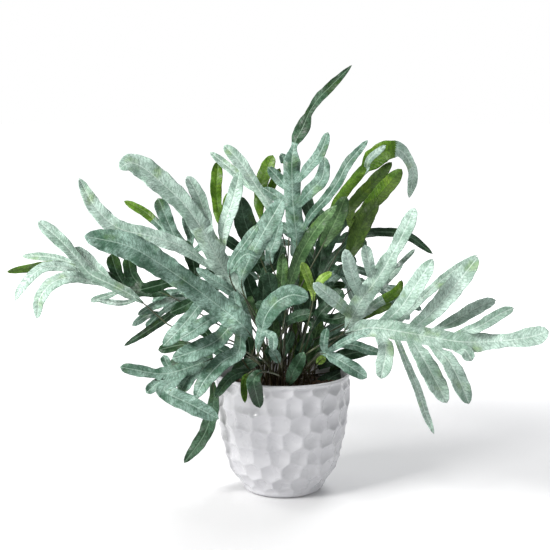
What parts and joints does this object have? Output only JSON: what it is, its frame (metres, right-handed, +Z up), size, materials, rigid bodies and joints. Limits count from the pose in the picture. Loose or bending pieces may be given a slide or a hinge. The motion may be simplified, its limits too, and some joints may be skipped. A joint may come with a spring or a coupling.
{
  "type": "potted blue star fern",
  "caption": "Blue star fern with lobed grey-green fronds on thin stalks, standing in soil in a white glazed honeycomb pot.",
  "frame": {"origin": "centre of the pot's flat base", "axes": "+Z up along the pot's axis, -Y towards the front of the plant, +X to its right as seen from the front"},
  "size_m": [0.518, 0.3387, 0.4274],
  "materials": {
    "glaze": "satin",
    "soil": "matte",
    "leaf": "matte"
  },
  "bodies": {
    "root": {"pot": "glaze", "soil": "soil", "frond_back_green": "leaf", "frond_back_pale": "leaf", "frond_back_yellow": "leaf", "frond_centre_arch": "leaf", "frond_centre_back": "leaf", "frond_centre_dark": "leaf", "frond_centre_left": "leaf", "frond_centre_mint": "leaf", "frond_centre_right": "leaf", "frond_centre_upright": "leaf", "frond_dark_star": "leaf", "frond_far_left": "leaf", "frond_green_strap": "leaf", "frond_left_back": "leaf", "frond_left_inner": "leaf", "frond_left_low": "leaf", "frond_left_middle": "leaf", "frond_left_shade": "leaf", "frond_left_strap": "leaf", "frond_left_under": "leaf", "frond_left_upper": "leaf", "frond_rear_1": "leaf", "frond_rear_2": "leaf", "frond_rear_3": "leaf", "frond_rear_4": "leaf", "frond_rear_5": "leaf", "frond_rear_6": "leaf", "frond_right_arch": "leaf", "frond_right_back": "leaf", "frond_right_big": "leaf", "frond_right_inner": "leaf", "frond_right_low": "leaf", "frond_right_middle": "leaf", "frond_top": "leaf", "leaf_centre_yellow": "leaf", "leaf_left_hanging": "leaf", "leaf_low_1": "leaf", "leaf_low_2": "leaf", "leaf_low_3": "leaf", "leaf_low_4": "leaf", "leaf_low_5": "leaf", "leaf_low_6": "leaf", "leaf_low_7": "leaf", "leaf_low_8": "leaf", "leaf_low_9": "leaf", "leaf_right_low": "leaf", "leaf_rim_front": "leaf", "leaf_rim_left": "leaf", "leaf_rim_middle": "leaf", "leaf_rim_yellow": "leaf", "leaf_soil_dark": "leaf", "leaf_soil_yellow": "leaf"}
  },
  "joints": []
}
